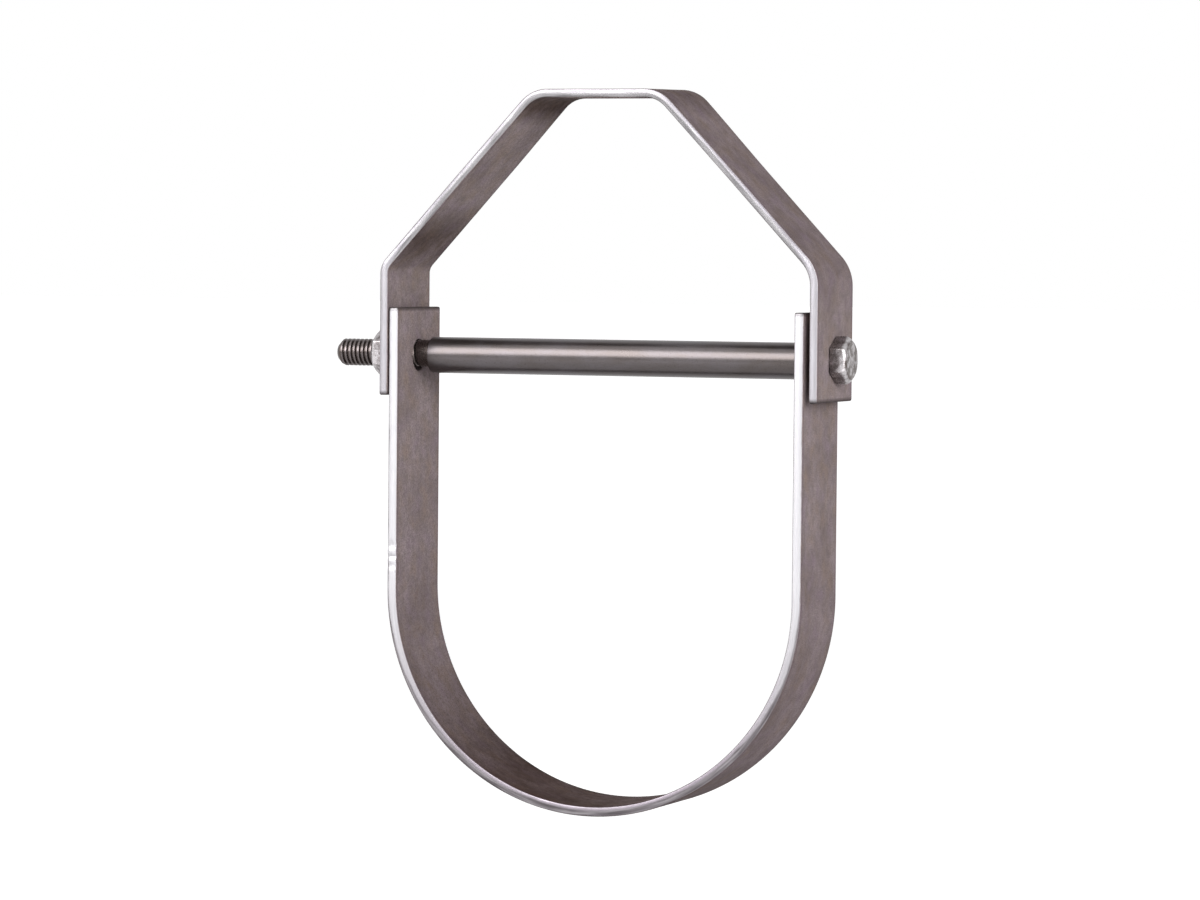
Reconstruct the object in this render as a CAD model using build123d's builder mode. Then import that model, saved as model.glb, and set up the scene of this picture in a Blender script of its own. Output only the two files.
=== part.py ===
"""Clevis pipe hanger for a nominal 5 in pipe: a bent steel yoke hangs from a threaded
rod, and a U-shaped strap swings from the yoke on a cross bolt with a loose spacer sleeve.

Millimetres. The origin is the centre of the rod hole, at mid thickness of the yoke's
top. +Z is up along the rod, X runs along the cross bolt, and Y along the pipe.
"""

from build123d import *
from math import copysign, cos, pi, radians, tan
import os

# --- Strip steel -----------------------------------------------------------------
strip_width = 38.1          # 1 1/2 in strip, along the pipe
strap_thickness = 3.4       # lower U-strap, 10 gauge
yoke_thickness = 3.0        # upper yoke, 11 gauge
strip_edge_radius = 0.5     # worn, rolled edges of the strip

# --- Lower strap -----------------------------------------------------------------
pipe_diameter = 141.3       # nominal 5 in pipe
pipe_clearance = 2.15       # radial room between the pipe and the strap
pipe_headroom = 11.35       # cross bolt axis down to the top of the pipe, clear of the sleeve
strap_end_rise = 16.2       # cross bolt axis up to the strap's cut ends

# --- Upper yoke ------------------------------------------------------------------
left_arm_gap = 0.6          # side room between strap and yoke, on the nut's side
right_arm_gap = 2.0         # and on the bolt head's side
yoke_top_drop = 90.85       # rod hole centre down to the cross bolt axis
yoke_end_drop = 14.4        # cross bolt axis down to the yoke's cut ends
yoke_straight_rise = 30.9   # cross bolt axis up to the lower bend's outer corner
yoke_top_width = 47.3       # between the outer corners of the two top bends
top_bend_radius = 10.0      # inside radius of the bends beside the rod hole
left_bend_radius = 4.5      # inside radius of the left bend above the cross bolt
right_bend_radius = 12.0    # the right one is bent over a rounder former
rod_hole_diameter = 17.5    # 11/16 in hole for a 5/8 in hanger rod

# --- Cross bolt, 3/8 in, and its nut ------------------------------------------------
bolt_diameter = 9.525
bolt_hole_play = 1.575      # the punched holes are 7/16 in
bolt_stick_out = 14.82      # bolt left outside the nut, which makes a 7 1/4 in bolt
bolt_tip_chamfer = 1.9
hex_across_flats = 14.29    # 9/16 in, head and nut
head_height = 6.1
head_face_chamfer = 1.0     # depth of the 30 degree chamfer at the hexagon's corners
washer_face_height = 0.4    # round bearing face under the head
nut_height = 8.33           # 21/64 in, a full nut
nut_chamfer = 0.9
nut_bore_clearance = 0.1    # radial room round the bolt's thread crests

# --- Spacer sleeve ---------------------------------------------------------------
sleeve_wall = 0.9
sleeve_bore_play = 1.375    # the bore is larger than the bolt, which makes a 1/2 in tube
sleeve_end_play = 5.9       # the sleeve is shorter than the room between the strap's arms
sleeve_side_gap = 0.3       # to the arm that the sleeve has slid against
sleeve_end_chamfer = 0.2

hang_gap = 0.15             # between the bolt and what hangs on it

# --- Places that follow from the sizes above ----------------------------------------
strap_inner_radius = pipe_diameter / 2 + pipe_clearance
strap_outer_radius = strap_inner_radius + strap_thickness
yoke_left_x = -(strap_outer_radius + left_arm_gap + yoke_thickness)
yoke_right_x = strap_outer_radius + right_arm_gap + yoke_thickness
bolt_z = -yoke_top_drop
pipe_z = bolt_z - pipe_headroom - pipe_diameter / 2
top_z = yoke_thickness / 2
bolt_hole_diameter = bolt_diameter + bolt_hole_play
strap_hole_z = bolt_z - bolt_hole_play / 2 + hang_gap
bolt_tip_x = yoke_left_x - nut_height - bolt_stick_out
sleeve_bore = bolt_diameter + sleeve_bore_play
sleeve_diameter = sleeve_bore + 2 * sleeve_wall
sleeve_length = 2 * strap_inner_radius - sleeve_end_play
sleeve_z = bolt_z - sleeve_bore_play / 2 + hang_gap
hex_across_corners = hex_across_flats / cos(pi / 6)
CHAMFER_SLOPE = tan(radians(30))
CUT_OVERSHOOT = 1.0         # how far a cutting ring reaches past the corners

bolt_axis = Axis((0, 0, bolt_z), (1, 0, 0))
bolt_section = Plane(origin=(0, 0, bolt_z), x_dir=(1, 0, 0), z_dir=(0, -1, 0))


def round_strip_edges(strip: BuildPart):
    """Roll the strip's two long edges over on both of its sheared sides."""
    sides = strip.faces().filter_by(Axis.Y).sort_by(Axis.Y)
    fillet(sides[0].edges() + sides[-1].edges(), radius=strip_edge_radius)


def corner_cut(end_x: float, inward: float):
    """A ring's section that cuts a hexagon's corners back at 30 degrees to its end face.

    inward is how far the cut reaches along the corners, signed towards the hexagon.
    """
    corner = hex_across_corners / 2
    overshoot = copysign(CUT_OVERSHOOT * CHAMFER_SLOPE, inward)
    with BuildSketch(bolt_section, mode=Mode.PRIVATE) as ring:
        with BuildLine():
            Polyline(
                (end_x, corner - abs(inward) / CHAMFER_SLOPE),
                (end_x + inward + overshoot, corner + CUT_OVERSHOOT),
                (end_x, corner + CUT_OVERSHOOT),
                close=True,
            )
        make_face()
    return ring.sketch


# --- Upper yoke: one strip with four bends, a rod hole and two bolt holes ---------------
with BuildPart() as upper_yoke:
    with BuildSketch(Plane.XZ):
        with BuildLine():
            FilletPolyline(
                (yoke_left_x, bolt_z - yoke_end_drop),
                (yoke_left_x, bolt_z + yoke_straight_rise),
                (-yoke_top_width / 2, top_z),
                (yoke_top_width / 2, top_z),
                (yoke_right_x, bolt_z + yoke_straight_rise),
                (yoke_right_x, bolt_z - yoke_end_drop),
                radius=[
                    left_bend_radius + yoke_thickness,
                    top_bend_radius + yoke_thickness,
                    top_bend_radius + yoke_thickness,
                    right_bend_radius + yoke_thickness,
                ],
            )
            offset(amount=yoke_thickness, side=Side.RIGHT)
        make_face()
    extrude(amount=strip_width / 2, both=True)
    round_strip_edges(upper_yoke)
    with Locations((0, 0, top_z)):
        Hole(rod_hole_diameter / 2, depth=2 * yoke_thickness)
    with BuildSketch(Plane.YZ):
        with Locations((0, bolt_z)):
            Circle(bolt_hole_diameter / 2)
    extrude(amount=2 * yoke_right_x, both=True, mode=Mode.SUBTRACT)

# --- Lower strap: one strip bent round the pipe, with a bolt hole in each arm -----------
with BuildPart() as lower_strap:
    with BuildSketch(Plane.XZ):
        with BuildLine():
            Line((-strap_outer_radius, bolt_z + strap_end_rise), (-strap_outer_radius, pipe_z))
            bottom = CenterArc((0, pipe_z), strap_outer_radius, 180, 180)
            Line(bottom @ 1, (strap_outer_radius, bolt_z + strap_end_rise))
            offset(amount=strap_thickness, side=Side.LEFT)
        make_face()
    extrude(amount=strip_width / 2, both=True)
    round_strip_edges(lower_strap)
    with BuildSketch(Plane.YZ):
        with Locations((0, strap_hole_z)):
            Circle(bolt_hole_diameter / 2)
    extrude(amount=2 * strap_outer_radius, both=True, mode=Mode.SUBTRACT)

# --- Cross bolt: hexagon head against the right arm, tip out beyond the left arm ----------
head_start = yoke_right_x + washer_face_height
head_length = head_height - washer_face_height
with BuildPart() as cross_bolt:
    with BuildSketch(Plane.YZ.offset(head_start)):
        with Locations((0, bolt_z)):
            RegularPolygon(hex_across_flats / 2, 6, major_radius=False, rotation=30)
    extrude(amount=head_length)
    revolve(corner_cut(head_start + head_length, -head_face_chamfer), bolt_axis, mode=Mode.SUBTRACT)
    with BuildSketch(bolt_section):
        with BuildLine():
            Polyline(
                (bolt_tip_x, 0),
                (bolt_tip_x, bolt_diameter / 2 - bolt_tip_chamfer),
                (bolt_tip_x + bolt_tip_chamfer, bolt_diameter / 2),
                (yoke_right_x, bolt_diameter / 2),
                (yoke_right_x, hex_across_flats / 2 - washer_face_height),
                (head_start, hex_across_flats / 2 - washer_face_height),
                (head_start, 0),
                close=True,
            )
        make_face()
    revolve(axis=bolt_axis)

# --- Nut: against the left arm -----------------------------------------------------------
nut_start = yoke_left_x - nut_height
nut_bore_radius = bolt_diameter / 2 + nut_bore_clearance
with BuildPart() as bolt_nut:
    with BuildSketch(Plane.YZ.offset(nut_start)):
        with Locations((0, bolt_z)):
            RegularPolygon(hex_across_flats / 2, 6, major_radius=False, rotation=30)
    extrude(amount=nut_height)
    revolve(corner_cut(nut_start, nut_chamfer), bolt_axis, mode=Mode.SUBTRACT)
    revolve(corner_cut(nut_start + nut_height, -nut_chamfer), bolt_axis, mode=Mode.SUBTRACT)
    with BuildSketch(Plane.YZ.offset(nut_start)):
        with Locations((0, bolt_z)):
            Circle(nut_bore_radius)
    extrude(amount=nut_height, mode=Mode.SUBTRACT)

# --- Spacer sleeve: a cut length of tube, hanging on the bolt against the right arm --------
sleeve_start = strap_inner_radius - sleeve_side_gap - sleeve_length
with BuildPart() as spacer_sleeve:
    with BuildSketch(Plane.YZ.offset(sleeve_start)):
        with Locations((0, sleeve_z)):
            Circle(sleeve_diameter / 2)
            Circle(sleeve_bore / 2, mode=Mode.SUBTRACT)
    extrude(amount=sleeve_length)
    chamfer(spacer_sleeve.edges().filter_by(GeomType.CIRCLE), length=sleeve_end_chamfer)

pieces = {
    "upper_yoke": upper_yoke,
    "lower_strap": lower_strap,
    "cross_bolt": cross_bolt,
    "bolt_nut": bolt_nut,
    "spacer_sleeve": spacer_sleeve,
}

os.makedirs("parts", exist_ok=True)
for name, piece in pieces.items():
    piece.part.label = name
    export_step(piece.part, f"parts/{name}.step")
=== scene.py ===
"""Clevis pipe hanger: the finished look of each piece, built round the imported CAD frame.

Metres, in the frame's own axes: the origin is the centre of the rod hole, +Z is up along
the rod, X runs along the cross bolt and Y along the pipe. The front edges face -Y.
"""

from collections import namedtuple
from math import atan, cos, pi, radians, sin, tan

import bmesh
import bpy
import numpy as np
from mathutils import Matrix, Vector, noise


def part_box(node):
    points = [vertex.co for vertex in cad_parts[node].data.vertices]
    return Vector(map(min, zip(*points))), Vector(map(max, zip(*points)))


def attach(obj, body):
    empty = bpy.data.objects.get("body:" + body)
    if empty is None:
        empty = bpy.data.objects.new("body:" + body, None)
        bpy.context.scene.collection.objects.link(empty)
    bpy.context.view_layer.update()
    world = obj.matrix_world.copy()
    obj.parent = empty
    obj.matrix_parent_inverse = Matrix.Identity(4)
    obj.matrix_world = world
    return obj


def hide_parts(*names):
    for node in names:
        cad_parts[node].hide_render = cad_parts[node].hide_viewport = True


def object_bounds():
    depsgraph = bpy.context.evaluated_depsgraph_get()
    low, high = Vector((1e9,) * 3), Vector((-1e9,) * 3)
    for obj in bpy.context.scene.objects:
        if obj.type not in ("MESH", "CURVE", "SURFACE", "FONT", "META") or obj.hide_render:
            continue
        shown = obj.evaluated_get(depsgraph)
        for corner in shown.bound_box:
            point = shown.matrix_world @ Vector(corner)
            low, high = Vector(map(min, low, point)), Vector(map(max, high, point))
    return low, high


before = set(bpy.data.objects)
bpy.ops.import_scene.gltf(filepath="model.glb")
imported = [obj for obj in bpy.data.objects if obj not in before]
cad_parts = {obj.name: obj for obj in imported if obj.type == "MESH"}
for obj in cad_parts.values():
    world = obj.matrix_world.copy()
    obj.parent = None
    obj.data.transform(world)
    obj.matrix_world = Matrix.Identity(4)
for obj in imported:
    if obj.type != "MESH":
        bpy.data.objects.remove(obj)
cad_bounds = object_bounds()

MM = 0.001

# --- Places and sizes that the frame gives -------------------------------------------------
yoke_low, yoke_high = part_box("upper_yoke")
strap_low, strap_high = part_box("lower_strap")
bolt_low, bolt_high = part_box("cross_bolt")
nut_low, nut_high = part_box("bolt_nut")
sleeve_low, sleeve_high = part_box("spacer_sleeve")

STRIP_WIDTH = yoke_high.y - yoke_low.y
YOKE_THICKNESS = 2 * yoke_high.z
BOLT_Z = (bolt_low.z + bolt_high.z) / 2
SLEEVE_Z = (sleeve_low.z + sleeve_high.z) / 2
SLEEVE_RADIUS = (sleeve_high.z - sleeve_low.z) / 2
ACROSS_FLATS = nut_high.y - nut_low.y

# --- Sizes of the strips -------------------------------------------------------------------
STRAP_THICKNESS = 3.4 * MM
YOKE_STRAIGHT_RISE = 30.9 * MM      # cross bolt axis up to the lower bends' outer corners
YOKE_TOP_WIDTH = 47.3 * MM          # between the outer corners of the two top bends
TOP_BEND = 10.0 * MM                # inside radii of the bends
LEFT_BEND = 4.5 * MM
RIGHT_BEND = 12.0 * MM
ROD_HOLE_RADIUS = 8.75 * MM
BOLT_HOLE_RADIUS = 5.55 * MM
STRAP_HOLE_DROP = 0.64 * MM         # the strap hangs on the bolt, so its holes sit lower
EDGE_RADIUS = 0.5 * MM
EDGE_CROWN = 0.12 * MM              # how far a sheared edge bulges between its corners
END_ROUNDING = 0.6 * MM
PUNCH_ROLL = 0.4 * MM               # rolled-in rim of a punched hole
TOP_TWIST = 0.8 * MM                # the back edge of the yoke's top stands this much higher
TWIST_FADE = 30 * MM                # and the twist is gone this far down the slopes
FACE_WAVE = 0.05 * MM               # unevenness of the rolled faces
FACE_WAVE_SIZE = 14 * MM            # and how far apart its bumps are
EDGE_WAVE = 0.08 * MM               # unevenness of the sheared edges
EDGE_WAVE_SIZE = 4 * MM             # and how far apart its long and fine bumps are
EDGE_FINE_SIZE = 1.3 * MM
EDGE_WAVE_START = 1.2 * MM          # this far in from the side it begins,
EDGE_WAVE_FADE = 0.8 * MM           # and it is full this much further out
STRIP_STEP = 0.8 * MM               # mesh spacing along a strip
FACE_COLUMNS = 26                   # mesh columns across a strip's face
FLAT_POINTS = 4                     # mesh points on half of a sheared edge
CORNER_POINTS = 6                   # and round each corner or rolled rim
END_LOOPS = 3                       # mesh loops that round each end
SEARCH_CHUNKS = 40                  # the nearest points are searched in so many parts
STRIP_SHARP_ANGLE = 38              # corners over this many degrees stay crisp

# --- Sizes of the fasteners and the sleeve ---------------------------------------------------
BOLT_RADIUS = 4.7625 * MM
THREAD_PITCH = 1.5875 * MM          # 16 threads an inch
THREAD_DEPTH = 0.72 * MM
THREAD_LENGTH = 31.75 * MM
THREAD_RUN_OUT = 2 * THREAD_PITCH   # the thread fades into the shank over this length
THREAD_SHAPE = (                    # shares of the pitch and of the depth, from the crest on
    (0.0, 0.0), (0.17, 0.0), (0.42, 1.0), (0.5, 1.04), (0.58, 1.0), (0.83, 0.0),
)
TIP_CHAMFER = 1.9 * MM
WASHER_FACE = 0.4 * MM
HEAD_CHAMFER = 1.2 * MM             # depth of the chamfer at the hexagon's corners
HEAD_ROUNDING = 1.3 * MM            # and how much further its edges are rounded off
NUT_CHAMFER = 0.9 * MM
NUT_ROUNDING = 0.2 * MM
NUT_COUNTERSINK = 0.45 * MM
NUT_BORE_RADIUS = BOLT_RADIUS + 0.1 * MM
HEX_SHARPNESS = 90                  # the higher, the crisper the hexagon's corners
HEX_SIDE_LEAD = 0.15 * MM           # of flat side before an end's rounding begins
HEX_FACE_LEAD = 0.25 * MM           # and of flat face after it
SLEEVE_WALL = 0.9 * MM
SLEEVE_CHAMFER = 0.2 * MM
SLEEVE_EDGE_BREAK = 0.06 * MM       # the middle of its rounded outer corner, in from both sides
SLEEVE_WAVE = 0.01 * MM             # unevenness of the drawn tube
SLEEVE_WAVE_SIZE = 12 * MM          # and how far apart its bumps are
CHAMFER_SLOPE = tan(radians(30))
AROUND = 192                        # mesh steps round a turned piece
CUTTER_AROUND = 96                  # and round a punch
ROUNDING_RINGS = 10                 # mesh rings over a hexagon's rounded end
SHANK_RINGS = 24
SLEEVE_RINGS = 60
TURNED_SHARP_ANGLE = 42             # corners over this many degrees stay crisp

# --- Marks on the strips ---------------------------------------------------------------------
Nick = namedtuple("Nick", "place size depth")
Stretch = namedtuple("Stretch", "middle half fade strength")
StripLine = namedtuple("StripLine", "points tangents normals along")

STRAP_NICKS = (                     # in the left arm's front edge, just above the round part
    Nick(83 * MM, 1.1 * MM, 0.35 * MM),
    Nick(87 * MM, 0.7 * MM, 0.5 * MM),
    Nick(90 * MM, 0.9 * MM, 0.3 * MM),
)


# --- Mesh helpers ----------------------------------------------------------------------------
def mesh_object(name, vertices, faces):
    """A mesh object with doubled vertices merged and faces turned outwards."""
    mesh = bpy.data.meshes.new(name)
    mesh.from_pydata([tuple(v) for v in vertices], [], faces)
    work = bmesh.new()
    work.from_mesh(mesh)
    bmesh.ops.remove_doubles(work, verts=work.verts, dist=1e-7)
    bmesh.ops.dissolve_degenerate(work, edges=work.edges, dist=1e-7)
    bmesh.ops.recalc_face_normals(work, faces=work.faces)
    work.to_mesh(mesh)
    work.free()
    piece = bpy.data.objects.new(name, mesh)
    bpy.context.scene.collection.objects.link(piece)
    return piece


def apply_modifiers(piece):
    """Puts the result of a piece's modifiers into its own mesh."""
    shown = piece.evaluated_get(bpy.context.evaluated_depsgraph_get())
    mesh = bpy.data.meshes.new_from_object(shown)
    piece.modifiers.clear()
    piece.data = mesh


def shade(piece, sharp_degrees):
    """Smooth shading that keeps flat faces flat and corners over sharp_degrees crisp."""
    piece.data.shade_smooth()
    piece.data.set_sharp_from_angle(angle=radians(sharp_degrees))
    weighted = piece.modifiers.new("weighted", "WEIGHTED_NORMAL")
    weighted.keep_sharp = True
    apply_modifiers(piece)


def vertex_places(mesh):
    """The places of a mesh's vertices, one row each."""
    places = np.empty(len(mesh.vertices) * 3)
    mesh.vertices.foreach_get("co", places)
    return places.reshape(-1, 3)


def loft_faces(loops, size, closed=False):
    """Quads that join each loop of `size` vertices to the next loop."""
    faces = []
    for loop in range(loops if closed else loops - 1):
        here = loop * size
        there = (loop + 1) % loops * size
        for i in range(size):
            j = (i + 1) % size
            faces.append((here + i, here + j, there + j, there + i))
    return faces


def ripple(along, across, size, seed):
    """Smooth noise from -1 to 1 over a surface, with bumps about `size` metres apart."""
    return np.array([
        noise.noise(Vector((a / size, c / size, seed)))
        for a, c in zip(along.ravel(), across.ravel())
    ]).reshape(along.shape)


# --- Bent strips -----------------------------------------------------------------------------
def bent_line(corners, radii):
    """Points and unit tangents, closely spaced, along straight runs joined by round bends."""
    points = []
    tangents = []

    def add_run(start, end):
        """Adds a straight run, without the point at its end."""
        count = max(1, round((end - start).length / STRIP_STEP))
        for i in range(count):
            points.append(start.lerp(end, i / count))
            tangents.append((end - start).normalized())

    start = Vector(corners[0])
    for before, corner, after, radius in zip(corners, corners[1:], corners[2:], radii):
        corner = Vector(corner)
        into = (corner - Vector(before)).normalized()
        out = (Vector(after) - corner).normalized()
        turn = into.x * out.y - into.y * out.x
        angle = into.angle(out) * (1 if turn > 0 else -1)
        setback = radius * tan(abs(angle) / 2)
        bend_start = corner - into * setback
        if (bend_start - start).length > STRIP_STEP / 4:
            add_run(start, bend_start)
        centre = bend_start + Vector((-into.y, into.x)) * radius * (1 if turn > 0 else -1)
        count = max(8, round(radius * abs(angle) / STRIP_STEP))
        for i in range(count):
            part = Matrix.Rotation(angle * i / count, 2)
            points.append(centre + part @ (bend_start - centre))
            tangents.append(part @ into)
        start = corner + out * setback
    add_run(start, Vector(corners[-1]))
    points.append(Vector(corners[-1]))
    tangents.append(tangents[-1])
    return np.array(points), np.array(tangents)


def half_section(thickness, inset):
    """The outer half of a strip's rim, (across, depth), from one edge's middle to the other's."""
    half_flat = thickness / 2 - EDGE_RADIUS
    tilt = atan(2 * EDGE_CROWN / half_flat)
    edge = [(EDGE_CROWN * u * u, half_flat * u) for u in np.linspace(0, 1, FLAT_POINTS)]
    corner = EDGE_RADIUS - inset
    for angle in np.linspace(tilt, pi / 2, CORNER_POINTS)[1:]:
        edge.append((EDGE_CROWN + corner * (1 - cos(angle)), half_flat + corner * sin(angle)))
    half_width = STRIP_WIDTH / 2 - inset
    first = [(-half_width + back, thickness / 2 - rise) for back, rise in edge]
    last = [(half_width - back, thickness / 2 - rise) for back, rise in reversed(edge)]
    face_half = half_width - edge[-1][0]
    face = [(across, inset) for across in np.linspace(-face_half, face_half, FACE_COLUMNS)]
    return np.array(first + face[1:-1] + last)


def section_loop(thickness, inset):
    """The whole rim of a strip: the outer half, then the inner half back again."""
    outer = half_section(thickness, inset)
    inner = outer[::-1][1:-1] * (1, -1) + (0, thickness)
    return np.concatenate([outer, inner])


def uneven_strip(length, across, depth, thickness, nicks, seed):
    """Across and depth, with the edges dented and nicked and the faces slightly wavy."""
    side = np.sign(across)
    half_width = STRIP_WIDTH / 2
    on_edge = np.clip((np.abs(across) - half_width + EDGE_WAVE_START) / EDGE_WAVE_FADE, 0, 1)
    uneven = ripple(length, depth + side * half_width, EDGE_WAVE_SIZE, seed)
    fine = ripple(length, depth + side * half_width, EDGE_FINE_SIZE, seed + 5)
    dent = EDGE_WAVE * (0.5 + 0.30 * uneven + 0.04 * fine)
    for nick in nicks:
        dent += nick.depth * np.exp(-((length - nick.place) / nick.size) ** 2) * (side < 0)
    across = across - side * on_edge * dent
    faces_wave = FACE_WAVE * (0.5 + 0.5 * ripple(length, across, FACE_WAVE_SIZE, seed + 9))
    inwards = np.where(depth < thickness / 2, 1, -1)
    return across, depth + inwards * (1 - on_edge) * faces_wave


def end_cap(first, size):
    """Faces across the loop of `size` vertices that starts at `first`."""
    faces = []
    for i in range(size // 2):
        corners = (
            first + i, first + i + 1, first + (size - i - 1) % size, first + (size - i) % size,
        )
        faces.append(tuple(dict.fromkeys(corners)))
    return faces


def strip(name, corners, radii, inward, thickness, nicks, seed):
    """A strip bent along the outline of its outer face, with uneven rolled faces and
    sheared edges, and the line that it follows. `inward` is 1 where the thickness lies left
    of the outline's run, and -1 where it lies right of it. Nicks are in the front edge.
    """
    points, tangents = bent_line(corners, radii)
    normals = inward * np.stack([-tangents[:, 1], tangents[:, 0]], axis=1)
    along = np.concatenate([[0], np.cumsum(np.linalg.norm(np.diff(points, axis=0), axis=1))])

    # The two ends are rounded in a few loops that shrink towards the cut.
    turns = np.linspace(0, pi / 2, END_LOOPS + 1)[:-1]
    insets = END_ROUNDING * (1 - np.sin(turns))
    setbacks = END_ROUNDING * (1 - np.cos(turns))
    starts = points[0] + np.outer(setbacks, tangents[0])
    ends = points[-1] - np.outer(setbacks, tangents[-1])
    places = np.concatenate([starts, points[1:-1], ends[::-1]])
    sides = np.concatenate([
        np.repeat(normals[:1], len(turns), axis=0),
        normals[1:-1],
        np.repeat(normals[-1:], len(turns), axis=0),
    ])
    lengths = np.concatenate([setbacks, along[1:-1], along[-1] - setbacks[::-1]])
    inset_list = [*insets, *np.zeros(len(points) - 2), *insets[::-1]]
    loops = {inset: section_loop(thickness, inset) for inset in set(inset_list)}
    section = np.array([loops[inset] for inset in inset_list])

    size = section.shape[1]
    length = np.repeat(lengths[:, None], size, axis=1)
    across, depth = uneven_strip(
        length, section[:, :, 0], section[:, :, 1], thickness, nicks, seed)
    flat = places[:, None, :] + sides[:, None, :] * depth[:, :, None]
    vertices = np.stack([flat[:, :, 0], across, flat[:, :, 1]], axis=2).reshape(-1, 3)
    faces = loft_faces(len(places), size)
    faces += end_cap(0, size)
    faces += end_cap((len(places) - 1) * size, size)
    return mesh_object(name, vertices, faces), StripLine(points, tangents, normals, along)


def punch(piece, centre, axis, radius, thickness):
    """Cuts a punched hole through a flat wall, with a rolled rim on both of its faces."""
    roll = [
        (PUNCH_ROLL * (1 - sin(angle)), PUNCH_ROLL * (1 - cos(angle)))
        for angle in np.linspace(0, pi / 2, CORNER_POINTS)
    ]
    rim = [(thickness / 2 - rise, radius + spread) for spread, rise in reversed(roll)]
    rim.append((rim[-1][0] + 1 * MM, rim[-1][1]))
    profile = [(-x, r) for x, r in reversed(rim)] + rim
    profile = [(profile[0][0], 0), *profile, (profile[-1][0], 0)]
    cutter = turned("cutter", profile, around=CUTTER_AROUND)
    turn = Vector((1, 0, 0)).rotation_difference(Vector(axis))
    cutter.data.transform(Matrix.Translation(centre) @ turn.to_matrix().to_4x4())
    boolean = piece.modifiers.new("punch", "BOOLEAN")
    boolean.operation = "DIFFERENCE"
    boolean.solver = "EXACT"
    boolean.object = cutter
    apply_modifiers(piece)
    bpy.data.objects.remove(cutter)


def store_numbers(mesh, name, numbers):
    """A number for each vertex, for the materials to read."""
    mesh.attributes.new(name, "FLOAT", "POINT").data.foreach_set("value", numbers.astype(np.float32))


def stretch_amount(along, stretches):
    """Each stretch's strength within half of its middle, falling to 0 over its fade."""
    amount = np.zeros(len(along))
    for stretch in stretches:
        share = np.clip(
            (stretch.half + stretch.fade - np.abs(along - stretch.middle)) / stretch.fade, 0, 1)
        amount = np.maximum(amount, stretch.strength * share)
    return amount


def nearest_points(flat, points):
    """For each place, the number of the nearest of the line's points."""
    return np.concatenate([
        np.argmin(((chunk[:, None, :] - points) ** 2).sum(axis=2), axis=1)
        for chunk in np.array_split(flat, SEARCH_CHUNKS)
    ])


def store_place(piece, line, thickness, painted_bend_shade, painted_outer_shade, painted_broad_shade, painted_edge_shade):
    """Stores each vertex's place on its strip, (along, across, depth) in metres, and how much
    shade is painted there: in the bends on the inner face, at given stretches of the outer
    face, over broad stretches of both, and on the sheared edge round the bends and the top.
    """
    co = vertex_places(piece.data)
    flat = co[:, [0, 2]]
    nearest = nearest_points(flat, line.points)
    offset = flat - line.points[nearest]
    along = line.along[nearest] + (offset * line.tangents[nearest]).sum(axis=1)
    depth = (offset * line.normals[nearest]).sum(axis=1)
    place = np.stack([along, co[:, 1], depth], axis=1)
    attribute = piece.data.attributes.new("place", "FLOAT_VECTOR", "POINT")
    attribute.data.foreach_set("vector", place.astype(np.float32).ravel())
    # Painted shade in the bends: inner stretches on the inner face, outer stretches on the outer one.
    dark = np.where(
        depth > thickness / 2, stretch_amount(along, painted_bend_shade), stretch_amount(along, painted_outer_shade))
    store_numbers(piece.data, "painted_bend_shade", dark)
    # Painted shade over broad stretches of both faces.
    store_numbers(piece.data, "painted_broad_shade", stretch_amount(along, painted_broad_shade))
    # Painted shade on the sheared edge round the bends and the top.
    store_numbers(piece.data, "painted_edge_shade", stretch_amount(along, painted_edge_shade))
    # How near the strip's end, where its shade is painted.
    from_end = np.minimum(along, line.along[-1] - along)
    store_numbers(piece.data, "sheared_end", np.clip(2 - from_end / END_ROUNDING, 0, 1))


# --- Turned and hexagonal pieces ---------------------------------------------------------------
def step_angles(around=AROUND):
    """The angle of each mesh step round the X direction, from +Y towards +Z."""
    return 2 * pi * np.arange(around) / around


def ring_vertices(x, radii, centre_z, around):
    """One ring round the X direction. x and the radii are one number, or one for each step."""
    angles = step_angles(around)
    x = np.broadcast_to(x, around)
    radii = np.broadcast_to(radii, around)
    return np.stack([x, radii * np.cos(angles), centre_z + radii * np.sin(angles)], axis=1)


def turned(name, profile, centre_z=0.0, around=AROUND, closed=False, extra=None):
    """A piece made of rings (x, radii), whose last ring joins the first one if it is closed.
    `extra` is more vertices and faces that belong to the same mesh.
    """
    vertices = np.concatenate([ring_vertices(x, r, centre_z, around) for x, r in profile])
    faces = loft_faces(len(profile), around, closed)
    if extra is not None:
        extra_vertices, extra_faces = extra
        base = len(vertices)
        vertices = np.concatenate([vertices, extra_vertices])
        faces += [tuple(base + i for i in face) for face in extra_faces]
    return mesh_object(name, vertices, faces)


def hexagon(across_flats):
    """Radii of a hexagon with flats facing +Y and -Y, its corners slightly rounded."""
    angles = step_angles()
    total = sum(
        np.clip(np.cos(angles - k * pi / 3), 0, 1) ** HEX_SHARPNESS for k in range(6)
    )
    return across_flats / 2 / total ** (1 / HEX_SHARPNESS)


def hexagon_end(face_x, outward, chamfer, rounding):
    """Rings from a hexagon's side over its rounded 30 degree chamfer to its flat end face."""
    radii = hexagon(ACROSS_FLATS)
    inner = radii.max() - chamfer / CHAMFER_SLOPE
    depth = (radii - inner) * CHAMFER_SLOPE + rounding
    rings = [(face_x - outward * (depth + HEX_SIDE_LEAD), radii)]
    for turn in np.linspace(0, pi / 2, ROUNDING_RINGS):
        x = face_x - outward * depth * (1 - sin(turn))
        rings.append((x, inner + (radii - inner) * cos(turn)))
    rings.append((face_x, np.full(AROUND, inner - HEX_FACE_LEAD)))
    return rings


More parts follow.
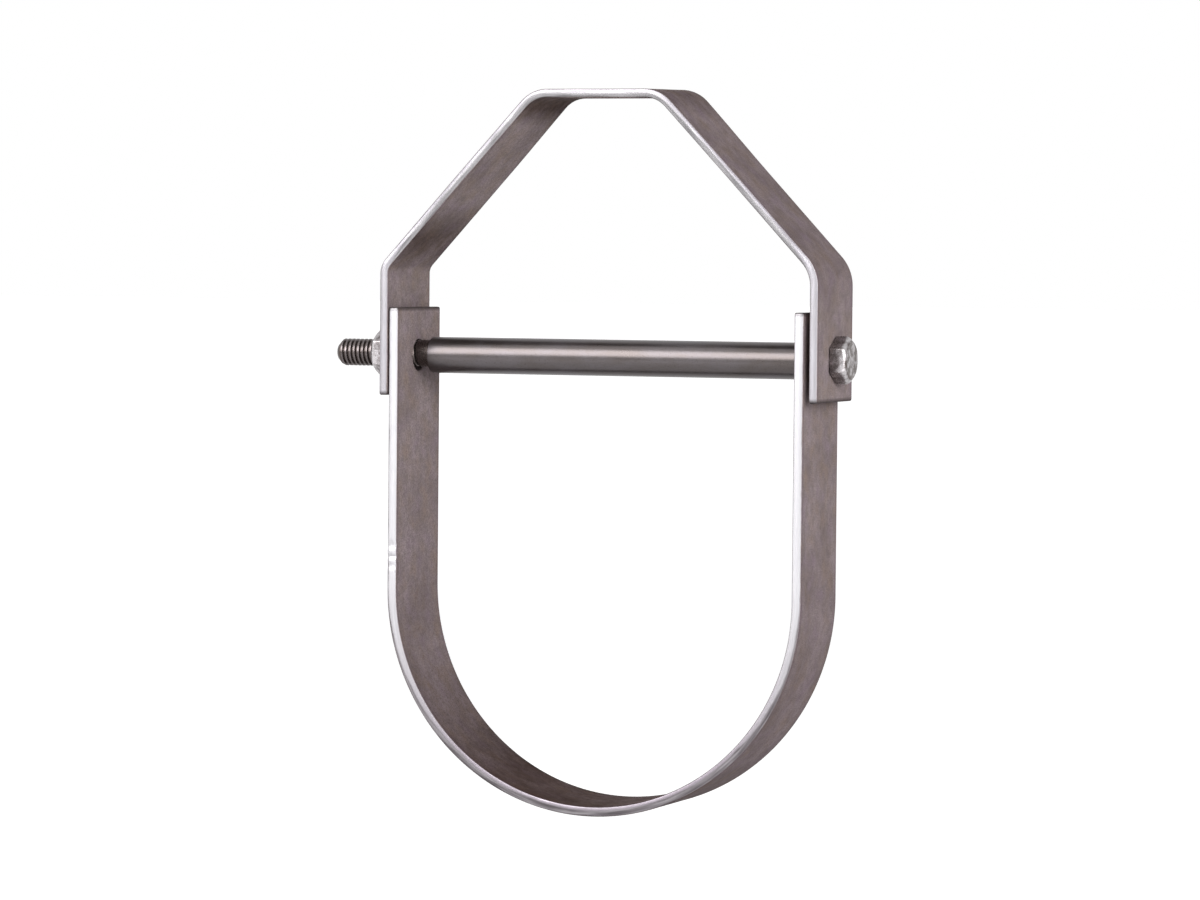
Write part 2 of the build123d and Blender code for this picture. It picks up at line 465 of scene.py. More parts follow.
def thread(tip_x, end_x, centre_z):
    """The bolt's helical thread, from the chamfered tip to its run-out into the shank."""
    turns = round((end_x - tip_x) / THREAD_PITCH) + 2
    steps = turns * AROUND + 1
    step = np.arange(steps)
    angles = 2 * pi * step / AROUND
    columns = []
    for share, deep in THREAD_SHAPE:
        x = tip_x + THREAD_PITCH * (step / AROUND + share - 1)
        run_out = np.clip((end_x - x) / THREAD_RUN_OUT, 0, 1)
        radius = BOLT_RADIUS - THREAD_DEPTH * deep * run_out
        x = np.clip(x, tip_x, end_x)
        radius = np.minimum(radius, BOLT_RADIUS - TIP_CHAMFER + (x - tip_x))
        columns.append(np.stack(
            [x, radius * np.cos(angles), centre_z + radius * np.sin(angles)], axis=1))
    count = len(THREAD_SHAPE)
    vertices = np.stack(columns, axis=1).reshape(-1, 3)
    faces = []
    for k in range(steps - 1):
        for j in range(count):
            a = k * count + j
            if j < count - 1:
                b = a + 1
            elif k + 1 + AROUND < steps:
                b = (k + AROUND) * count    # the same crest, one turn further on
            else:
                continue
            faces.append((a, b, b + count, a + count))
    return vertices, faces


# --- The five pieces -----------------------------------------------------------------------------
def make_yoke():
    """The bent yoke, with its rod hole, its two bolt holes and its slightly twisted top."""
    left, right = yoke_low.x, yoke_high.x
    corner_z = BOLT_Z + YOKE_STRAIGHT_RISE
    corners = [
        (left, yoke_low.z), (left, corner_z), (-YOKE_TOP_WIDTH / 2, yoke_high.z),
        (YOKE_TOP_WIDTH / 2, yoke_high.z), (right, corner_z), (right, yoke_low.z),
    ]
    radii = [bend + YOKE_THICKNESS for bend in (LEFT_BEND, TOP_BEND, TOP_BEND, RIGHT_BEND)]
    piece, line = strip("yoke_strip", corners, radii, -1, YOKE_THICKNESS, nicks=(), seed=3)
    punch(piece, Vector((0, 0, 0)), (0, 0, 1), ROD_HOLE_RADIUS, YOKE_THICKNESS)
    for wall_x in (left + YOKE_THICKNESS / 2, right - YOKE_THICKNESS / 2):
        punch(piece, Vector((wall_x, 0, BOLT_Z)), (1, 0, 0), BOLT_HOLE_RADIUS, YOKE_THICKNESS)

    length = line.along[-1]
    arm = corner_z - yoke_low.z
    slope = Vector((left + YOKE_TOP_WIDTH / 2, corner_z - yoke_high.z)).length
    # Painted shade: darker, browner scale inside the bends and on the outer face of the top right
    # bend, a darker right slope, and darker sheared edges over the slopes and the top.
    left_bends = [
        Stretch(arm + 13 * MM, 3 * MM, 15 * MM, 0.72),
        Stretch(arm + slope - 1 * MM, 6 * MM, 8 * MM, 0.95),
    ]
    right_bends = [bend._replace(middle=length - bend.middle) for bend in left_bends]
    store_place(
        piece, line, YOKE_THICKNESS,
        painted_bend_shade=left_bends + right_bends,
        painted_outer_shade=[Stretch(length - arm - slope, 2 * MM, 13 * MM, 0.45)],
        painted_broad_shade=[Stretch(length - arm - slope / 2, slope / 2, 18 * MM, 1.0)],
        painted_edge_shade=[Stretch(length / 2, length / 2 - arm - 12 * MM, 10 * MM, 1.0)],
    )
    twist_top(piece)
    shade(piece, STRIP_SHARP_ANGLE)
    return piece


def twist_top(piece):
    """Tilts the yoke's top up towards its back edge, fading out down the slopes."""
    co = vertex_places(piece.data)
    share = np.clip(1 + co[:, 2] / TWIST_FADE, 0, 1)
    lift = TOP_TWIST * (co[:, 1] / STRIP_WIDTH + 0.5) * share * share * (3 - 2 * share)
    co[:, 2] += lift - TOP_TWIST * share / 2
    piece.data.vertices.foreach_set("co", co.ravel())


def make_strap():
    """The U-shaped strap, with its two bolt holes and the nicks in its front edge."""
    half = strap_high.x
    corners = [
        (-half, strap_high.z), (-half, strap_low.z), (half, strap_low.z), (half, strap_high.z),
    ]
    piece, line = strip(
        "strap_strip", corners, [half, half], 1, STRAP_THICKNESS, STRAP_NICKS, seed=21)
    for side in (-1, 1):
        middle = Vector((side * (half - STRAP_THICKNESS / 2), 0, BOLT_Z - STRAP_HOLE_DROP))
        punch(piece, middle, (1, 0, 0), BOLT_HOLE_RADIUS, STRAP_THICKNESS)
    bottom = line.along[-1] / 2
    # Painted shade: darker, browner scale inside and outside the round bottom, a broad darker stretch
    # over the U, and darker sheared edges round it.
    store_place(
        piece, line, STRAP_THICKNESS,
        painted_bend_shade=[Stretch(bottom, 40 * MM, 56 * MM, 1.0)],
        painted_outer_shade=[Stretch(bottom, 28 * MM, 34 * MM, 0.60)],
        painted_broad_shade=[Stretch(bottom, 85 * MM, 75 * MM, 1.0)],
        painted_edge_shade=[Stretch(bottom, 55 * MM, 70 * MM, 1.0)],
    )
    shade(piece, STRIP_SHARP_ANGLE)
    return piece


def make_bolt():
    """The bolt: chamfered tip, thread, shank, washer face and slightly dished forged head."""
    seat_x = yoke_high.x
    face_x = bolt_high.x
    tip_x = bolt_low.x
    thread_end = tip_x + THREAD_LENGTH
    tip_radius = BOLT_RADIUS - TIP_CHAMFER
    tip = [(tip_x + 0.15 * MM, 0.0), (tip_x + 0.05 * MM, tip_radius * 0.7), (tip_x, tip_radius)]
    shank = [
        (x, BOLT_RADIUS) for x in np.linspace(thread_end, seat_x - 0.6 * MM, SHANK_RINGS)
    ]
    washer_radius = ACROSS_FLATS / 2 - WASHER_FACE
    radii = hexagon(ACROSS_FLATS)
    head_x = seat_x + WASHER_FACE
    washer_face = [
        (seat_x - 0.15 * MM, BOLT_RADIUS + 0.1 * MM), (seat_x, BOLT_RADIUS + 0.5 * MM),
        (seat_x, washer_radius - 0.1 * MM), (seat_x + 0.08 * MM, washer_radius),
        (head_x, washer_radius),
    ]
    side = [
        (head_x, radii - 0.2 * MM), (head_x + 0.05 * MM, radii - 0.05 * MM),
        (head_x + 0.18 * MM, radii), (head_x + 1.2 * MM, radii), (head_x + 2.4 * MM, radii),
    ]
    end = hexagon_end(face_x, 1, HEAD_CHAMFER, HEAD_ROUNDING)
    dish = [(face_x - 0.02 * MM, 5 * MM), (face_x - 0.06 * MM, 3 * MM), (face_x - 0.08 * MM, 0.0)]
    profile = shank + washer_face + side + end + dish
    helix = thread(tip_x, thread_end, BOLT_Z)
    piece = turned("bolt_and_head", profile, BOLT_Z, extra=helix)
    weld(piece, turned("bolt_tip", tip, BOLT_Z))
    shade(piece, TURNED_SHARP_ANGLE)
    return piece


def weld(piece, other):
    """Welds another mesh object into piece."""
    work = bmesh.new()
    work.from_mesh(piece.data)
    work.from_mesh(other.data)
    bmesh.ops.remove_doubles(work, verts=work.verts, dist=1e-7)
    bmesh.ops.recalc_face_normals(work, faces=work.faces)
    work.to_mesh(piece.data)
    work.free()
    bpy.data.objects.remove(other)


def make_nut():
    """The hexagon nut, chamfered on both ends, with a countersunk bore."""
    outer_x, inner_x = nut_low.x, nut_high.x
    middle = (outer_x + inner_x) / 2
    mouth = NUT_BORE_RADIUS + NUT_COUNTERSINK
    outside = hexagon_end(outer_x, -1, NUT_CHAMFER, NUT_ROUNDING)
    inside = hexagon_end(inner_x, 1, NUT_CHAMFER, NUT_ROUNDING)
    profile = [(outer_x + NUT_COUNTERSINK, NUT_BORE_RADIUS), (outer_x, mouth)]
    profile += outside[::-1] + [(middle, hexagon(ACROSS_FLATS))] + inside
    profile += [(inner_x, mouth), (inner_x - NUT_COUNTERSINK, NUT_BORE_RADIUS)]
    profile += [(middle, NUT_BORE_RADIUS)]
    piece = turned("hex_nut", profile, BOLT_Z, closed=True)
    shade(piece, TURNED_SHARP_ANGLE)
    return piece


def make_sleeve():
    """The loose tube on the bolt, slightly uneven outside and plain in its bore."""
    left, right = sleeve_low.x, sleeve_high.x
    bore = SLEEVE_RADIUS - SLEEVE_WALL
    round_place = 5 * MM * np.cos(step_angles())
    profile = [
        (left, bore + SLEEVE_CHAMFER), (left, SLEEVE_RADIUS - SLEEVE_CHAMFER),
        (left + SLEEVE_EDGE_BREAK, SLEEVE_RADIUS - SLEEVE_EDGE_BREAK),
    ]
    for x in np.linspace(left + SLEEVE_CHAMFER, right - SLEEVE_CHAMFER, SLEEVE_RINGS):
        uneven = ripple(np.full(AROUND, x), round_place, SLEEVE_WAVE_SIZE, seed=77.0)
        profile.append((x, SLEEVE_RADIUS - SLEEVE_WAVE * (1 + uneven)))
    profile += [
        (right - SLEEVE_EDGE_BREAK, SLEEVE_RADIUS - SLEEVE_EDGE_BREAK),
        (right, SLEEVE_RADIUS - SLEEVE_CHAMFER), (right, bore + SLEEVE_CHAMFER),
        (right - SLEEVE_CHAMFER, bore), (left + SLEEVE_CHAMFER, bore),
    ]
    piece = turned("sleeve_tube", profile, SLEEVE_Z, closed=True)
    shade(piece, TURNED_SHARP_ANGLE)
    return piece


# --- Material helpers ----------------------------------------------------------------------------
def make(tree, kind, inputs=None, **settings):
    """A node with its settings and inputs; an input that is a socket is linked."""
    node = tree.nodes.new("ShaderNode" + kind)
    for name, value in settings.items():
        setattr(node, name, value)
    for socket, value in (inputs or {}).items():
        if isinstance(value, bpy.types.NodeSocket):
            tree.links.new(value, node.inputs[socket])
        else:
            node.inputs[socket].default_value = value
    return node


def object_place(tree):
    """The place on the piece, in metres."""
    return make(tree, "TexCoord").outputs["Object"]


def stored(tree, name):
    """A number that the mesh stores for each vertex."""
    return make(tree, "Attribute", attribute_name=name).outputs["Fac"]


def separated(tree, vector):
    """The X, Y and Z of a vector."""
    return make(tree, "SeparateXYZ", {"Vector": vector}).outputs


def shifted(tree, vector, seed):
    """A place moved by the seed, so that each material has its own noise."""
    node = make(tree, "VectorMath", {0: vector, 1: (seed, seed, seed)}, operation="ADD")
    return node.outputs["Vector"]


def grain(tree, vector, scale, detail, roughness=0.55, stretch=(1, 1, 1)):
    """Noise over a surface place; a stretch below 1 draws it out along that direction."""
    placed = make(tree, "VectorMath", {0: vector, 1: stretch}, operation="MULTIPLY")
    texture = make(tree, "TexNoise", {
        "Vector": placed.outputs["Vector"], "Scale": scale, "Detail": detail, "Roughness": roughness,
    })
    return texture.outputs["Fac"]


def ramp(tree, factor, *stops):
    """A colour ramp from (position, colour) stops."""
    node = make(tree, "ValToRGB", {"Fac": factor})
    elements = node.color_ramp.elements
    while len(elements) < len(stops):
        elements.new(0.5)
    for element, (position, colour) in zip(elements, stops):
        element.position = position
        element.color = (*colour, 1)
    return node.outputs["Color"]


def remap(tree, value, low, high, to_low, to_high):
    """A value stretched from one range to another, with its ends held."""
    return make(tree, "MapRange", {
        "Value": value, "From Min": low, "From Max": high, "To Min": to_low, "To Max": to_high,
    }).outputs["Result"]


def mixed(tree, factor, first, second, mode="MIX"):
    """Two colours mixed by a factor. Each is a socket, or red, green and blue."""
    first, second = (
        colour if isinstance(colour, bpy.types.NodeSocket) else (*colour, 1)
        for colour in (first, second)
    )
    node = make(tree, "Mix", {0: factor, 6: first, 7: second}, data_type="RGBA", blend_type=mode)
    return node.outputs[2]


def tinted(tree, amount, colour, tint):
    """A colour multiplied by the tint as far as the amount says."""
    return mixed(tree, amount, colour, mixed(tree, 1.0, colour, tint, mode="MULTIPLY"))


def blended(tree, factor, first, second):
    """Two numbers mixed by a factor."""
    return make(tree, "Mix", {0: factor, 2: first, 3: second}).outputs[0]


def calc(tree, operation, *values):
    """One arithmetic node on values that vary over the surface."""
    return make(tree, "Math", dict(enumerate(values)), operation=operation).outputs["Value"]


def bump(tree, height, strength, distance, normal=None):
    """The surface's normal, bent by a height on top of an earlier bump if one is given."""
    inputs = {"Height": height, "Strength": strength, "Distance": distance}
    if normal is not None:
        inputs["Normal"] = normal
    return make(tree, "Bump", inputs).outputs["Normal"]


def material_of(name, shader_inputs):
    """A material with one Principled shader. shader_inputs(tree) gives its inputs."""
    material = bpy.data.materials.new(name)
    material.use_nodes = True
    tree = material.node_tree
    tree.nodes.clear()
    shader = make(tree, "BsdfPrincipled", shader_inputs(tree))
    make(tree, "OutputMaterial", {"Surface": shader.outputs["BSDF"]})
    return material


# --- Hot-rolled strip ----------------------------------------------------------------------------
RUST_BLOT = (0.150, 0.128, 0.112)
DARK_SPECK = (0.085, 0.066, 0.062)
PALE_STREAK = (0.30, 0.27, 0.28)
SIDE_DARK_TONE = (0.105, 0.080, 0.088)
# Painted shade: the tints over broad stretches and in the bends, and the colour of the strips' cut
# ends.
PAINTED_BROAD_SHADE_TINT = (0.82, 0.80, 0.81)
PAINTED_BEND_SHADE_TINT = (0.20, 0.140, 0.115)
END_PAINTED_SHADE = (0.045, 0.036, 0.036)
SIDE_DARK_BAND = (2.2 * MM, 0.6 * MM)   # in from the strip's side, where it begins and is full
CUT_BAND = (1.2 * MM, 0.8 * MM)     # the same of the cut's own look
CUT_CORNER = (0.10 * MM, 0.34 * MM)     # in from the faces, where the cut begins and is full


def strip_noises(tree, place, seed):
    """The noises that a strip's colour, roughness and bumps share."""
    spot = shifted(tree, place, seed)
    return {
        "clouds": grain(tree, spot, 55, 5, 0.60),
        "hues": grain(tree, spot, 120, 4, 0.55),
        "blots": grain(tree, spot, 330, 6, 0.68),
        "specks": grain(tree, spot, 2200, 3, 0.6),
        "streaks": grain(tree, spot, 900, 3, 0.5, stretch=(0.03, 1, 1)),
        "shear": grain(tree, spot, 900, 3, 0.55, stretch=(0.07, 1, 1)),
        "waver": grain(tree, spot, 60, 3, 0.6, stretch=(1, 0, 0)),
    }


def side_band(tree, across, band):
    """0 further in from the strip's side than band[0], and 1 further out than band[1]."""
    return remap(tree, across, STRIP_WIDTH / 2 - band[0], STRIP_WIDTH / 2 - band[1], 0, 1)


def scale_colour(tree, noises, across, tones):
    """Mill scale in clouds of two tones, with brown and mauve hues, blots, specks and streaks,
    darker near the strip's sides, and with shade painted over broad stretches and in the bends.
    """
    dark, light, brown, mauve = tones
    clouds, hues, blots = noises["clouds"], noises["hues"], noises["blots"]
    scale = ramp(tree, clouds, (0.34, dark), (0.66, light))
    scale = mixed(tree, remap(tree, hues, 0.48, 0.70, 0, 0.75), scale, brown)
    scale = mixed(tree, remap(tree, hues, 0.30, 0.46, 0.75, 0), scale, mauve)
    scale = mixed(tree, remap(tree, blots, 0.46, 0.68, 0, 0.45), scale, RUST_BLOT)
    scale = mixed(tree, remap(tree, noises["specks"], 0.34, 0.60, 0.55, 0), scale, DARK_SPECK)
    scale = mixed(tree, remap(tree, noises["streaks"], 0.52, 0.8, 0, 0.25), scale, PALE_STREAK)
    # Darker near the strip's sides.
    dimmed = calc(tree, "MULTIPLY", side_band(tree, across, SIDE_DARK_BAND),
                 remap(tree, blots, 0.38, 0.62, 0.65, 0.1))
    scale = mixed(tree, dimmed, scale, SIDE_DARK_TONE)
    # Painted shade, over broad stretches and in the bends.
    scale = tinted(tree, stored(tree, "painted_broad_shade"), scale, PAINTED_BROAD_SHADE_TINT)
    painted_bend_shade = calc(tree, "MULTIPLY", stored(tree, "painted_bend_shade"), remap(tree, clouds, 0.3, 0.6, 1.0, 0.8))
    return tinted(tree, painted_bend_shade, scale, PAINTED_BEND_SHADE_TINT)


def cut_colour(tree, noises, share, bright_tones, dull_tones, painted_edge_shade_tint):
    """Sheared steel, dull from share 0 of the thickness up to a wavering line and bright beyond it.
    The line lies furthest in, and the bright part is tinted darker, where shade is painted on the
    edge.
    """
    # Painted shade on the edge round the bends and the top.
    shear, painted_edge_shade = noises["shear"], stored(tree, "painted_edge_shade")
    bright = ramp(tree, shear, *zip((0.30, 0.55, 0.75), bright_tones))
    dull = ramp(tree, shear, *zip((0.34, 0.50, 0.68), dull_tones))
    reach = calc(tree, "ADD", remap(tree, noises["waver"], 0.35, 0.65, 0.0, 0.16),
                 calc(tree, "MULTIPLY", painted_edge_shade, 0.55))
    is_dull = remap(tree, calc(tree, "SUBTRACT", reach, share), -0.07, 0.07, 0, 1)
    return mixed(tree, is_dull, tinted(tree, painted_edge_shade, bright, painted_edge_shade_tint), dull)


def strip_steel(name, thickness, scale_tones, bright_tones, dull_tones, painted_edge_shade_tint, dull_side, seed):
    """Hot-rolled strip: mottled scale on the rolled faces, bright steel where it was cut.
    The cut is dull towards dull_side, which is 0 for the outer face and 1 for the inner one,
    the side that faces down round the bends and the top, where the wider dull part is painted shade.
    """
    def shader_inputs(tree):
        place = make(tree, "Attribute", attribute_name="place").outputs["Vector"]
        noises = strip_noises(tree, place, seed)
        parts = separated(tree, place)
        across = calc(tree, "ABSOLUTE", parts["Y"])
        depth = parts["Z"]
        from_face = calc(tree, "MINIMUM", depth, calc(tree, "SUBTRACT", thickness, depth))
        cut = calc(tree, "MULTIPLY", side_band(tree, across, CUT_BAND),
                   remap(tree, from_face, *CUT_CORNER, 0, 1))
        share = calc(tree, "DIVIDE", depth, thickness)
        if dull_side:
            share = calc(tree, "SUBTRACT", 1.0, share)

        scale = scale_colour(tree, noises, across, scale_tones)
        steel = cut_colour(tree, noises, share, bright_tones, dull_tones, painted_edge_shade_tint)
        colour = mixed(tree, cut, scale, steel)
        # Painted shade at the strips' cut ends.
        dirt_and_painted_shade = calc(tree, "MULTIPLY", stored(tree, "sheared_end"), 0.85)
        colour = mixed(tree, dirt_and_painted_shade, colour, END_PAINTED_SHADE)

        rough_scale = remap(tree, noises["blots"], 0.3, 0.7, 0.58, 0.76)
        rough_cut = remap(tree, noises["shear"], 0.3, 0.7, 0.46, 0.28)
        on_scale = calc(tree, "SUBTRACT", 1.0, cut)
        pits = bump(tree, calc(tree, "MULTIPLY", noises["blots"], on_scale), 0.35, 0.06 * MM)
        pits = bump(tree, calc(tree, "MULTIPLY", noises["specks"], on_scale), 0.25, 0.03 * MM, pits)
        pits = bump(tree, noises["shear"], 0.15, 0.03 * MM, pits)
        return {
            "Base Color": colour,
            "Metallic": cut,
            "Roughness": blended(tree, cut, rough_scale, rough_cut),
            "Specular IOR Level": 0.02,
            "Normal": pits,
        }
    return material_of(name, shader_inputs)


# --- Bolt, nut and tube --------------------------------------------------------------------------
FORGED_TONES = ((0.130, 0.112, 0.112), (0.28, 0.256, 0.262), (0.50, 0.475, 0.490))
WORN_CREST_TONES = ((0.090, 0.077, 0.077), (0.150, 0.132, 0.135))
DARK_SHANK_TONES = ((0.060, 0.048, 0.045), (0.105, 0.088, 0.084))
FASTENER_DIRT = (0.075, 0.056, 0.048)
RUBBED_RIM_AND_PAINTED_HIGHLIGHT = (0.50, 0.48, 0.49)
FACE_DIRT_FADE = (0.10 * MM, 0.35 * MM)  # in from the end face, where its dirt fades out
RIM_DEPTH = (1.8 * MM, 1.0 * MM)    # in from it, where the rubbed rim begins and is full
RIM_RADIUS = (6.6 * MM, 7.0 * MM)   # and out from the axis
CREST_DEPTH = (0.40 * MM, 0.10 * MM)    # in from the bolt's radius, where a crest begins and is full
BARE_FADE = 0.5 * MM                # the worn crests end over this length at the nut,
FORGED_FADE = 0.3 * MM              # and the shank's look over this one at the head
TUBE_TONES = ((0.086, 0.074, 0.072), (0.112, 0.102, 0.110))
TUBE_SPECK = (0.045, 0.035, 0.032)


def shank_colour(tree, clouds, radius, x, bare_x):
    """Thread and shank in dark tones, whose crests are worn lighter to the left of bare_x."""
    crest = remap(tree, radius, BOLT_RADIUS - CREST_DEPTH[0], BOLT_RADIUS - CREST_DEPTH[1], 0, 1)
    bare = calc(tree, "MULTIPLY", crest, remap(tree, x, bare_x - BARE_FADE, bare_x, 1, 0))
    worn = ramp(tree, clouds, *zip((0.36, 0.64), WORN_CREST_TONES))
    dimmed = ramp(tree, clouds, *zip((0.36, 0.64), DARK_SHANK_TONES))
    return mixed(tree, bare, dimmed, worn)


def fastener_steel(name, seat_x, face_x, bare_x, seed):
    """A forged head or nut to the right of seat_x, dirty on its end face at face_x and lighter on
    that face's rounded rim, rubbed and with a painted highlight, and the dark shank left of seat_x.
    """
    def shader_inputs(tree):
        place = object_place(tree)
        spot = shifted(tree, place, seed)
        clouds = grain(tree, spot, 400, 5, 0.60)
        blots = grain(tree, spot, 1100, 5, 0.65)
        parts = separated(tree, place)
        x, y = parts["X"], parts["Y"]
        rise = calc(tree, "SUBTRACT", parts["Z"], BOLT_Z)
        radius = calc(tree, "SQRT", calc(
            tree, "ADD", calc(tree, "MULTIPLY", rise, rise), calc(tree, "MULTIPLY", y, y)))
        from_face = calc(tree, "ABSOLUTE", calc(tree, "SUBTRACT", x, face_x))

        on_face = calc(tree, "MULTIPLY", remap(tree, from_face, *FACE_DIRT_FADE, 1, 0),
                       remap(tree, clouds, 0.44, 0.56, 0.80, 0.05))
        dirt_and_painted_shade = calc(tree, "ADD", on_face, remap(tree, blots, 0.42, 0.7, 0, 0.5))
        # The end face's rounded rim: rubbed lighter, which also paints its highlight.
        rim = calc(tree, "MULTIPLY", remap(tree, from_face, *RIM_DEPTH, 0, 1),
                   remap(tree, radius, *RIM_RADIUS, 0, 1))
        rubbed_and_painted_highlight = calc(tree, "MULTIPLY", rim, remap(tree, blots, 0.38, 0.6, 1, 0.35))

        head = ramp(tree, clouds, *zip((0.38, 0.5, 0.62), FORGED_TONES))
        forged = remap(tree, x, seat_x, seat_x + FORGED_FADE, 0, 1)
        colour = mixed(tree, forged, shank_colour(tree, clouds, radius, x, bare_x), head)
        colour = mixed(tree, dirt_and_painted_shade, colour, FASTENER_DIRT)
        colour = mixed(tree, rubbed_and_painted_highlight, colour, RUBBED_RIM_AND_PAINTED_HIGHLIGHT)
        marks = bump(tree, clouds, 0.45, 0.12 * MM)
        marks = bump(tree, blots, 0.40, 0.05 * MM, marks)
        clean = calc(tree, "MAXIMUM", rubbed_and_painted_highlight, clouds)
        return {
            "Base Color": colour,
            "Metallic": remap(tree, clean, 0.4, 0.6, 0.75, 1.0),
            "Roughness": remap(tree, blots, 0.3, 0.7, 0.20, 0.36),
            "Normal": marks,
        }
    return material_of(name, shader_inputs)


def tube_steel(name):
    """Drawn tube: smooth and dark, with fine lengthwise lines and a thin brown film."""
    def shader_inputs(tree):
        place = object_place(tree)
        lines = grain(tree, place, 1500, 3, 0.5, stretch=(0.012, 1, 1))
        film = grain(tree, place, 110, 5, 0.6, stretch=(0.4, 1, 1))
        specks = grain(tree, place, 1800, 3, 0.6)
        colour = ramp(tree, film, *zip((0.35, 0.65), TUBE_TONES))
        colour = mixed(tree, remap(tree, specks, 0.55, 0.75, 0, 0.45), colour, TUBE_SPECK)
        fine = bump(tree, lines, 0.18, 0.02 * MM)
        fine = bump(tree, specks, 0.10, 0.01 * MM, fine)
        return {
            "Base Color": colour,
            "Metallic": 0.9,
            "Roughness": remap(tree, film, 0.3, 0.7, 0.27, 0.35),
            "Normal": fine,
        }
    return material_of(name, shader_inputs)


# --- Studio --------------------------------------------------------------------------------------
VIEW_AZIMUTH = radians(21.0)
VIEW_ELEVATION = radians(2.25)
VIEW_ROLL = radians(0.52)
VIEW_DISTANCE = 1.749
VIEW_LENS = 151.4                   # in millimetres, as the sensor's width is
SENSOR_WIDTH = 36
VIEW_OFFSET = (4.02 * MM, 32.5 * MM)    # the cross bolt's middle lies this far right and up

FLOOR_GAP = 45 * MM                 # the hanger hangs clear of the floor
FLOOR_HALF = 20.0
FLOOR_GREY = (0.60, 0.60, 0.60)
GLOW_NEAR = (0.32, 0.62)            # distance and glow of the floor near the hanger, which the
GLOW_BESIDE = (0.60, 0.79)          # lamps light most, beside it, and far away
GLOW_FAR = (3.0, 1.00)

SKY_LIGHT = (0.50, 0.05)            # light on the hanger from the horizon and from higher up,
SKY_FADE = 0.6                      # with the height, 0 to 1, where it has faded to the second

LAMPS = (                           # name, direction, distance, size and power
    ("key", (0.54, -0.69, 0.36), 1.2, 0.30, 2.0),
    ("side", (0.77, -0.58, 0.26), 1.3, 0.80, 13.0),
    ("front", (-0.36, -0.80, 0.48), 1.3, 0.80, 17.0),
    ("top", (-0.36, -0.26, 0.90), 1.3, 0.80, 1.8),
)


def make_camera():
    """The camera, turned and rolled as the object is seen, at VIEW_DISTANCE from the bolt."""
    right = Vector((cos(VIEW_AZIMUTH), sin(VIEW_AZIMUTH), 0))
    flat = cos(VIEW_ELEVATION)
    back = Vector((sin(VIEW_AZIMUTH) * flat, -cos(VIEW_AZIMUTH) * flat, sin(VIEW_ELEVATION)))
    up = back.cross(right)
    target = Vector((0, 0, BOLT_Z)) - right * VIEW_OFFSET[0] - up * VIEW_OFFSET[1]
    camera = bpy.data.objects.new("camera", bpy.data.cameras.new("camera"))
    camera.data.lens = VIEW_LENS
    camera.data.sensor_width = SENSOR_WIDTH
    rolled_right = right * cos(VIEW_ROLL) + up * sin(VIEW_ROLL)
    rolled_up = up * cos(VIEW_ROLL) - right * sin(VIEW_ROLL)
    turn = Matrix((rolled_right, rolled_up, back)).transposed()
    camera.matrix_world = Matrix.Translation(target + back * VIEW_DISTANCE) @ turn.to_4x4()
    bpy.context.scene.collection.objects.link(camera)
    bpy.context.scene.camera = camera


def seen_share(tree):
    """1 for the rays that show the background: camera, mirror and transmission rays."""
    rays = make(tree, "LightPath").outputs
    shown = calc(tree, "MAXIMUM", rays["Is Camera Ray"], rays["Is Glossy Ray"])
    return calc(tree, "MAXIMUM", shown, rays["Is Transmission Ray"])


def make_floor():
    """A pale paper floor, whose glow makes it white to the camera outside the shadow."""
    middle = (cad_bounds[0] + cad_bounds[1]) / 2
    z = cad_bounds[0].z - FLOOR_GAP
    corners = [
        (middle.x + a * FLOOR_HALF, middle.y + b * FLOOR_HALF, z)
        for a, b in ((-1, -1), (1, -1), (1, 1), (-1, 1))
    ]
    floor = mesh_object("floor", corners, [(0, 1, 2, 3)])

    def shader_inputs(tree):
        away = make(tree, "VectorMath", {0: object_place(tree)}, operation="LENGTH").outputs["Value"]
        near = remap(tree, away, GLOW_NEAR[0], GLOW_BESIDE[0], GLOW_NEAR[1], GLOW_BESIDE[1])
        more = remap(tree, away, GLOW_BESIDE[0], GLOW_FAR[0], 0, GLOW_FAR[1] - GLOW_BESIDE[1])
        glow = calc(tree, "ADD", near, more)
        return {
            "Base Color": (*FLOOR_GREY, 1),
            "Roughness": 0.9,
            "Specular IOR Level": 0.1,
            "Emission Color": (1, 1, 1, 1),
            "Emission Strength": calc(tree, "MULTIPLY", seen_share(tree), glow),
        }
    floor.data.materials.append(material_of("floor_paper", shader_inputs))


def make_world():
    """White surroundings for the camera and for mirrors, and a soft dim light on the object."""
    world = bpy.data.worlds.new("studio")
    world.use_nodes = True
    tree = world.node_tree
    tree.nodes.clear()
    direction = make(tree, "TexCoord").outputs["Generated"]
    height = calc(tree, "ABSOLUTE", separated(tree, direction)["Z"])
    soft_light = remap(tree, height, 0, SKY_FADE, *SKY_LIGHT)
    strength = blended(tree, seen_share(tree), soft_light, 1.0)
    background = make(tree, "Background", {"Color": (1, 1, 1, 1), "Strength": strength})
    make(tree, "OutputWorld", {"Surface": background.outputs["Background"]})
    bpy.context.scene.world = world


def make_lamp(name, direction, distance, size, power):
    """A square soft lamp aimed at the middle of the hanger."""
    target = (cad_bounds[0] + cad_bounds[1]) / 2
    lamp = bpy.data.objects.new(name, bpy.data.lights.new(name, "AREA"))
    lamp.data.size = size
    lamp.data.energy = power
    direction = Vector(direction).normalized()
    lamp.location = target + direction * distance
    lamp.rotation_euler = direction.to_track_quat("Z", "Y").to_euler()
    bpy.context.scene.collection.objects.link(lamp)


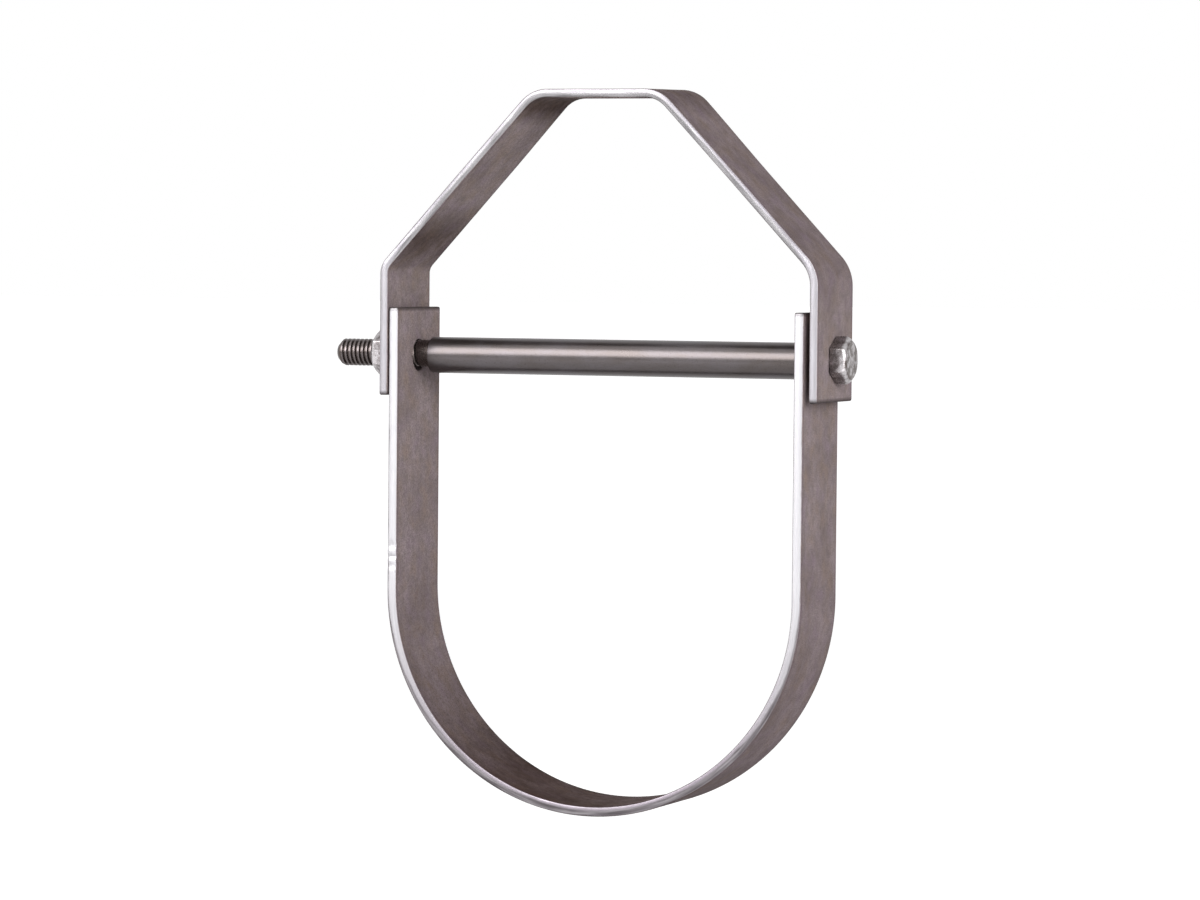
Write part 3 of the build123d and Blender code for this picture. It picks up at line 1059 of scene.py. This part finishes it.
# --- Assembly --------------------------------------------------------------------------------------
yoke = make_yoke()
strap = make_strap()
bolt = make_bolt()
nut = make_nut()
sleeve = make_sleeve()

yoke_steel = strip_steel(
    "yoke_scale", YOKE_THICKNESS,
    scale_tones=(
        (0.222, 0.176, 0.178), (0.350, 0.286, 0.294), (0.278, 0.212, 0.180), (0.278, 0.216, 0.254),
    ),
    bright_tones=((0.28, 0.27, 0.285), (0.37, 0.355, 0.38), (0.48, 0.465, 0.50)),
    dull_tones=((0.14, 0.135, 0.140), (0.24, 0.232, 0.240), (0.34, 0.330, 0.340)),
    painted_edge_shade_tint=(0.66, 0.65, 0.66), dull_side=1, seed=0.31,
)
strap_steel = strip_steel(
    "strap_scale", STRAP_THICKNESS,
    scale_tones=(
        (0.224, 0.178, 0.180), (0.348, 0.284, 0.296), (0.286, 0.214, 0.182), (0.286, 0.222, 0.258),
    ),
    bright_tones=((0.43, 0.42, 0.44), (0.53, 0.52, 0.54), (0.62, 0.61, 0.64)),
    dull_tones=((0.09, 0.080, 0.085), (0.17, 0.155, 0.165), (0.28, 0.262, 0.275)),
    painted_edge_shade_tint=(0.44, 0.40, 0.43), dull_side=0, seed=1.73,
)
bolt_steel = fastener_steel(
    "bolt_metal", seat_x=yoke_high.x, face_x=bolt_high.x, bare_x=nut_low.x, seed=0.9)
nut_steel = fastener_steel(
    "nut_metal", seat_x=nut_low.x - 1 * MM, face_x=nut_low.x, bare_x=nut_low.x, seed=2.6)

for piece, body, node, slot, material in (
    (yoke, "hanger_frame", "upper_yoke", "yoke_steel", yoke_steel),
    (strap, "strap", "lower_strap", "strap_steel", strap_steel),
    (bolt, "hanger_frame", "cross_bolt", "bolt_steel", bolt_steel),
    (nut, "hanger_frame", "bolt_nut", "nut_steel", nut_steel),
    (sleeve, "sleeve", "spacer_sleeve", "sleeve_steel", tube_steel("tube_metal")),
):
    piece.data.materials.clear()
    piece.data.materials.append(material)
    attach(piece, body)
    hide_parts(node)

make_camera()
make_floor()
make_world()
for lamp_settings in LAMPS:
    make_lamp(*lamp_settings)
bpy.context.scene.view_settings.view_transform = "Standard"
